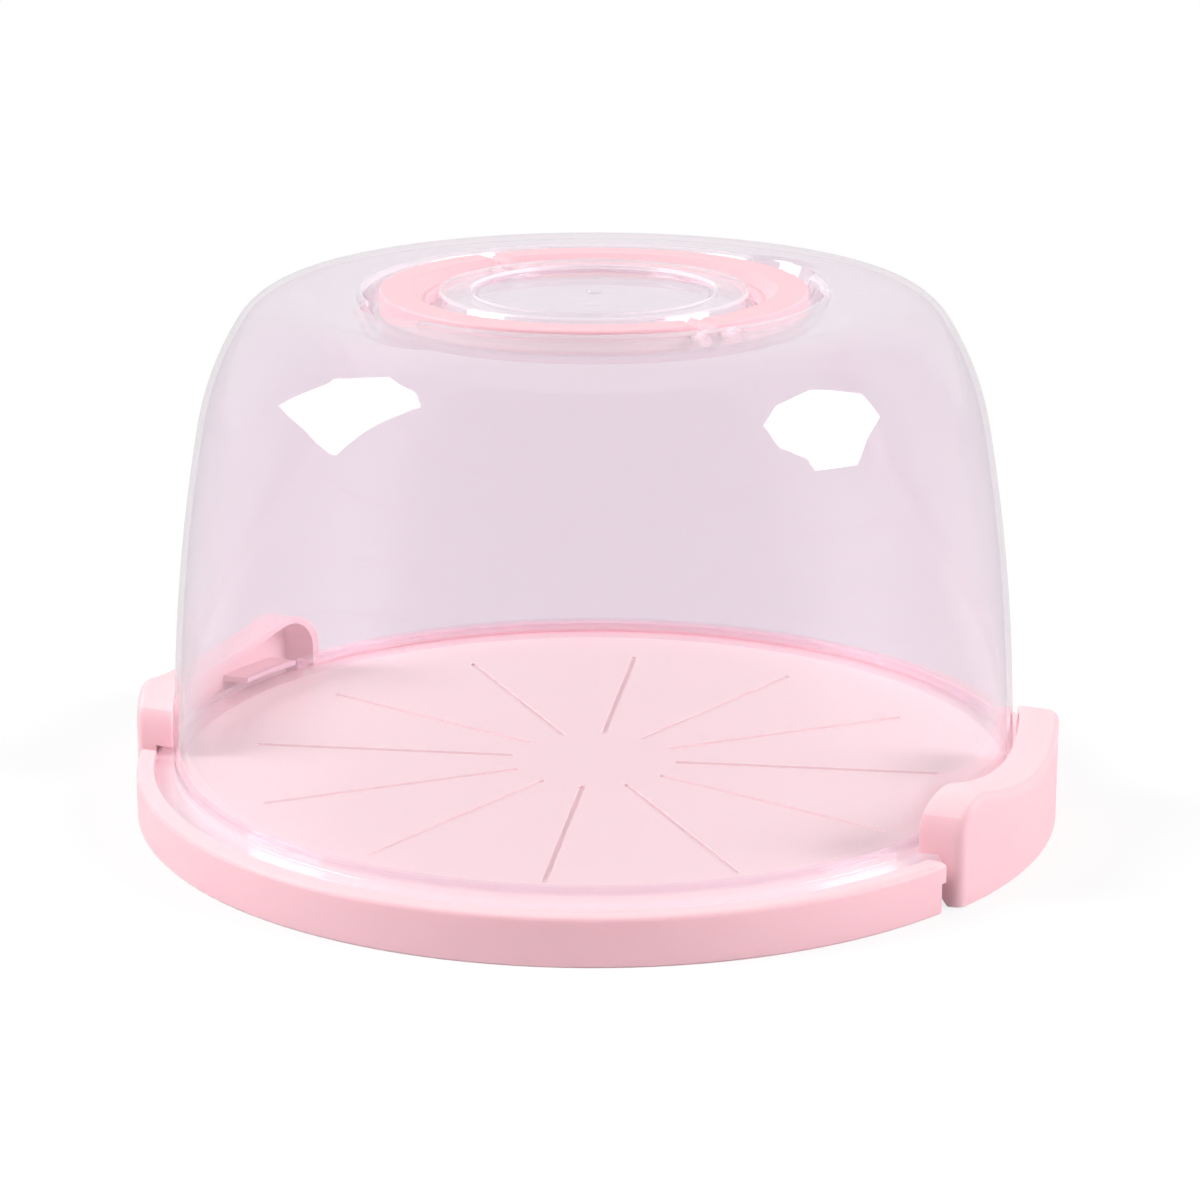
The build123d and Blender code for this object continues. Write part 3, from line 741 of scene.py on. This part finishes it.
def handle_section(sizes):
    """The ring's closed cross-section as (radius, height) points: flat top, a slope down to the inner ledge,
    and a channel in the underside. It also gives the depth of each point in the channel."""
    t = sizes
    top, ledge = t.bottom + t.height, t.bottom + t.height - t.ledge_drop
    roof = t.bottom + t.height - t.channel_roof
    start = (t.channel_outer + t.outer) / 2
    loop = rounded([
        (start, t.bottom, 0),
        (t.outer, t.bottom, t.edge_round),
        (t.outer, top, t.edge_round),
        (t.ledge + SLOPE_START, top, t.edge_round),
        (t.inner + LEDGE_WIDTH, ledge, t.edge_round),
        (t.inner, ledge - LEDGE_SLANT, SOFT_ROUND),
        (t.inner, t.bottom, SOFT_ROUND),
        (t.channel_inner, t.bottom, SHARP_ROUND),
        (t.channel_inner + CHANNEL_DRAFT, roof, SOFT_ROUND),
        (t.channel_outer - CHANNEL_DRAFT, roof, SOFT_ROUND),
        (t.channel_outer, t.bottom, SHARP_ROUND),
        (start, t.bottom, 0),
    ], steps=4, support=0.15 * MM)[:-1]
    low, high = t.channel_inner - CHANNEL_SLACK, t.channel_outer + CHANNEL_SLACK
    in_channel = (loop[:, 0] > low) & (loop[:, 0] < high) & (loop[:, 1] < top - CHANNEL_COVER)
    depth = np.where(in_channel, loop[:, 1] - t.bottom, 0)
    return loop, depth


class CARRIER_OT_handle(bpy.types.Operator):
    """Make the two halves of the ring handle: a cross-section carried round half the ring, whose ends close
    in a half round about the pivot line, and the pivot stubs"""

    bl_idname = "carrier.handle"
    bl_label = "Ring handle"

    def execute(self, context):
        sizes = settings().handle
        for name, turn in (("rear", 0.0), ("front", math.pi)):
            points, faces = self.half(sizes, sizes.seam + turn)
            piece = new_object(f"ring_{name}", points, faces)
            dress(piece, polypropylene())
            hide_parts(f"handle_{name}")
            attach(piece, f"{name}_handle")
        return {"FINISHED"}

    def half(self, sizes, direction):
        """Columns run from one end to the other. At an end each lies on a plane square to the seam's far
        side, at a sine of the round's radius from the pivot line, with heights drawn in by the cosine."""
        loop, depth = handle_section(sizes)
        middle = sizes.bottom + sizes.height / 2
        end_round = sizes.height / 2
        radius = loop[:, 0]
        end_y = np.broadcast_to(
            sizes.half_gap - end_round * np.sin(END_ANGLES)[:, None], (len(END_ANGLES), len(loop)),
        )
        end_x = np.sqrt(radius**2 - end_y**2)
        end_z = middle + (loop[:, 1] - depth - middle) * np.cos(END_ANGLES)[:, None]
        first = np.arcsin(sizes.half_gap / radius)
        along_half = np.linspace(0, 1, HANDLE_COLUMNS)[:, None]
        turns = first + along_half * (math.pi - 2 * first)
        main_x, main_y = radius * np.cos(turns), radius * np.sin(turns)
        ramp = np.clip((main_y - sizes.channel_start) / CHANNEL_RAMP, 0, 1)
        main_z = loop[:, 1] - depth * (1 - ramp**2 * (3 - 2 * ramp))
        x = np.vstack([end_x, main_x, -end_x[::-1]])
        y = np.vstack([end_y, main_y, end_y[::-1]])
        z = np.vstack([end_z, main_z, end_z[::-1]])
        cos, sin = math.cos(direction), math.sin(direction)
        points = [np.stack([x * cos - y * sin, x * sin + y * cos, z], -1).reshape(-1, 3)]
        rows, columns = x.shape
        faces = grid_faces(rows, columns)
        faces.append(tuple(range(columns))[::-1])
        faces.append(tuple(range((rows - 1) * columns, rows * columns)))
        along = np.array([cos, sin, 0])
        foot = np.array([-sin, cos, 0]) * sizes.half_gap + np.array([0, 0, middle])
        stub = rounded([
            (0, sizes.pivot_inner, 0), (sizes.pivot_radius, sizes.pivot_inner, STUB_ROUND),
            (sizes.pivot_radius, sizes.pivot_outer, STUB_ROUND), (0, sizes.pivot_outer, 0),
        ], steps=2, support=0.1 * MM)
        for end in (1, -1):
            more, sides = turned(stub, foot, along * end)
            faces += [tuple(index + sum(map(len, points)) for index in face) for face in sides]
            points.append(more)
        return np.vstack(points), faces


class CARRIER_OT_plain_nodes(bpy.types.Operator):
    """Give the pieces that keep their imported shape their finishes"""

    bl_idname = "carrier.plain_nodes"
    bl_label = "Finishes"

    def execute(self, context):
        for name in ("base_tray", "latch_right", "latch_left"):
            dress(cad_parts[name], polypropylene())
        for name in ("latch_pin_right", "latch_pin_left"):
            dress(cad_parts[name], drawn_steel())
        return {"FINISHED"}


def soft_lamp(name, corners, strength):
    """A flat lamp whose corners lie in given directions from a point inside the dome. They are pairs of
    degrees: round from the camera's right towards the back, and up from the horizon."""
    stage = settings().stage
    directions = np.radians(np.array(corners, float))
    azimuth, up = directions[:, 0] + stage.azimuth, directions[:, 1]
    away = np.stack([np.cos(up) * np.cos(azimuth), np.cos(up) * np.sin(azimuth), np.sin(up)], -1)
    middle = away.mean(0)
    middle /= np.linalg.norm(middle)
    # Every corner goes to a plane at the lamps' distance, square to the middle direction
    points = away * (stage.lamp_distance / (away @ middle))[:, None] + np.array([0, 0, LAMP_AIM])
    lamp = new_object(name, points, [tuple(range(len(points)))], closed=False)
    material, tree = new_material(name)
    light = node(tree, "ShaderNodeEmission", {"Color": rgba(WHITE), "Strength": strength})
    node(tree, "ShaderNodeOutputMaterial", {"Surface": light})
    dress(lamp, material)
    lamp.visible_camera = False
    return lamp


def seen_rays(tree):
    """1 for rays that come from the camera, from a mirror or through glass, and 0 for all others."""
    path = node(tree, "ShaderNodeLightPath").outputs
    direct = node(
        tree, "ShaderNodeMath", {0: path["Is Camera Ray"], 1: path["Is Transmission Ray"]},
        operation="MAXIMUM",
    )
    both = node(tree, "ShaderNodeMath", {0: direct, 1: path["Is Glossy Ray"]}, operation="MAXIMUM")
    return both.outputs["Value"]


def backdrop_white(tree, part):
    """A part of the backdrop's white, or of its lilac where it is seen through clear plastic."""
    surfaces = node(tree, "ShaderNodeLightPath").outputs["Transparent Depth"]
    behind = node(tree, "ShaderNodeMath", {0: surfaces, 1: 1.0}, operation="MINIMUM")
    lilac = tuple(part * value for value in settings().stage.lilac)
    return node(
        tree, "ShaderNodeMix", {"Factor": behind, "A": rgba((part,) * 3), "B": rgba(lilac)},
        data_type="RGBA",
    ).outputs["Result"]


def mirrored_room(tree, place):
    """Brightness of the room and floor in mirrors: darker within some 55 degrees of the camera's side and
    brighter behind the object, by the cosine between that side and a place or a direction, both laid flat."""
    stage = settings().stage
    flat = node(tree, "ShaderNodeVectorMath", {0: place, 1: (1, 1, 0)}, operation="MULTIPLY")
    unit = node(tree, "ShaderNodeVectorMath", {0: flat}, operation="NORMALIZE")
    side = (math.sin(stage.azimuth), -math.cos(stage.azimuth), 0)
    cosine = node(
        tree, "ShaderNodeVectorMath", {0: unit, 1: side}, operation="DOT_PRODUCT",
    ).outputs["Value"]
    front = node(tree, "ShaderNodeMapRange", {
        "Value": cosine, "To Min": stage.room_sides, "To Max": stage.room, **FRONT_COSINES,
    })
    behind = node(tree, "ShaderNodeMapRange", {
        "Value": cosine, "To Max": stage.room_behind, **BEHIND_COSINES,
    })
    return node(tree, "ShaderNodeMath", {0: front, 1: behind}, operation="MAXIMUM").outputs["Value"]


class CARRIER_OT_stage(bpy.types.Operator):
    """Make the camera, the soft lamps, the room's light and the pale floor"""

    bl_idname = "carrier.stage"
    bl_label = "Stage"

    def execute(self, context):
        stage = settings().stage
        scene = context.scene
        scene.view_settings.view_transform = "Standard"
        self.make_camera(scene, stage)
        soft_lamp("lamp_left", LAMP_LEFT, stage.lamp_strength)
        soft_lamp("lamp_right", LAMP_RIGHT, stage.lamp_strength)
        backdrop = soft_lamp("backdrop", BACKDROP, stage.backdrop)
        soft_lamp("overhead", OVERHEAD, stage.overhead_strength)
        backdrop.visible_diffuse = False
        backdrop.visible_shadow = False
        # A look through both walls of the dome and its well meets more clear surfaces than eight
        scene.cycles.transparent_max_bounces = CLEAR_BOUNCES
        self.make_room(scene, stage)
        self.make_floor(stage)
        return {"FINISHED"}

    def make_camera(self, scene, stage):
        """A camera at the photo's angle."""
        data = bpy.data.cameras.new("camera")
        data.sensor_width, data.lens, data.shift_x = SENSOR_WIDTH, stage.lens, stage.shift
        camera = bpy.data.objects.new("camera", data)
        scene.collection.objects.link(camera)
        camera.location = (
            stage.distance * math.sin(stage.azimuth),
            -stage.distance * math.cos(stage.azimuth),
            stage.height,
        )
        camera.rotation_euler = (math.pi / 2 - stage.pitch, 0, stage.azimuth)
        scene.camera = camera

    def make_room(self, scene, stage):
        """White where it is looked at, dimmer where it is mirrored, and faint as light on the object."""
        world = bpy.data.worlds.new("room")
        scene.world = world
        world.use_nodes = True
        tree = world.node_tree
        tree.nodes.clear()
        direction = node(tree, "ShaderNodeTexCoord").outputs["Generated"]
        looked_at = node(tree, "ShaderNodeMapRange", {"Value": seen_rays(tree), "To Min": stage.ambient})
        strength = node(tree, "ShaderNodeMix", {
            "Factor": node(tree, "ShaderNodeLightPath").outputs["Is Glossy Ray"],
            "A": looked_at,
            "B": mirrored_room(tree, direction),
        }).outputs["Result"]
        light = node(
            tree, "ShaderNodeBackground", {"Color": backdrop_white(tree, 1.0), "Strength": strength},
        )
        node(tree, "ShaderNodeOutputWorld", {"Surface": light})

    def make_floor(self, stage):
        """A floor that lights the object by its paint, and shows its own white and a weaker shadow."""
        half = FLOOR_HALF
        corners = np.array([[-half, -half, 0], [half, -half, 0], [half, half, 0], [-half, half, 0]])
        floor = new_object("floor", corners, [(0, 1, 2, 3)], closed=False)
        material, tree = new_material("floor")
        place = node(tree, "ShaderNodeTexCoord").outputs["Object"]
        paint = node(tree, "ShaderNodeBsdfDiffuse", {"Color": rgba(stage.floor_paint)})
        pale = node(tree, "ShaderNodeBsdfDiffuse", {"Color": backdrop_white(tree, 1 - stage.floor_lift)})
        glow = node(tree, "ShaderNodeEmission", {"Color": backdrop_white(tree, stage.floor_lift)})
        near = node(tree, "ShaderNodeAddShader", {0: pale, 1: glow})
        # Away from the object it fades to plain white, so that no horizon shows
        white = node(tree, "ShaderNodeEmission", {"Color": backdrop_white(tree, 1.0)})
        reach = node(tree, "ShaderNodeVectorMath", {0: place}, operation="LENGTH").outputs["Value"]
        fade = node(tree, "ShaderNodeMapRange", {"Value": reach, **FLOOR_FADE})
        ground = node(tree, "ShaderNodeMixShader", {"Fac": fade, 1: near, 2: white})
        # In a mirror it is as bright as the room
        dim = node(tree, "ShaderNodeEmission", {
            "Color": backdrop_white(tree, 1.0), "Strength": mirrored_room(tree, place),
        })
        mirrored = node(tree, "ShaderNodeLightPath").outputs["Is Glossy Ray"]
        shown = node(tree, "ShaderNodeMixShader", {"Fac": mirrored, 1: ground, 2: dim})
        both = node(tree, "ShaderNodeMixShader", {"Fac": seen_rays(tree), 1: paint, 2: shown})
        node(tree, "ShaderNodeOutputMaterial", {"Surface": both})
        dress(floor, material)


class CARRIER_PT_panel(bpy.types.Panel):
    """Buttons for every piece, and the sizes and colours below them"""

    bl_label = "Carrier"
    bl_idname = "CARRIER_PT_panel"
    bl_space_type = "VIEW_3D"
    bl_region_type = "UI"
    bl_category = "Carrier"

    def draw(self, context):
        for operator in OPERATORS:
            self.layout.operator(operator.bl_idname)
        for name in GROUPS:
            box = self.layout.box()
            box.label(text=name)
            group = getattr(context.scene.carrier, name)
            for field in group.__annotations__:
                box.prop(group, field)


OPERATORS = (CARRIER_OT_plain_nodes, CARRIER_OT_dome, CARRIER_OT_handle, CARRIER_OT_stage)
CLASSES = (*GROUPS.values(), CarrierSettings, *OPERATORS, CARRIER_PT_panel)


def register():
    for kind in CLASSES:
        bpy.utils.register_class(kind)
    bpy.types.Scene.carrier = bpy.props.PointerProperty(type=CarrierSettings)


def unregister():
    del bpy.types.Scene.carrier
    for kind in reversed(CLASSES):
        bpy.utils.unregister_class(kind)


def main():
    register()
    bpy.ops.carrier.plain_nodes()
    bpy.ops.carrier.dome()
    bpy.ops.carrier.handle()
    bpy.ops.carrier.stage()


if __name__ == "__main__":
    main()
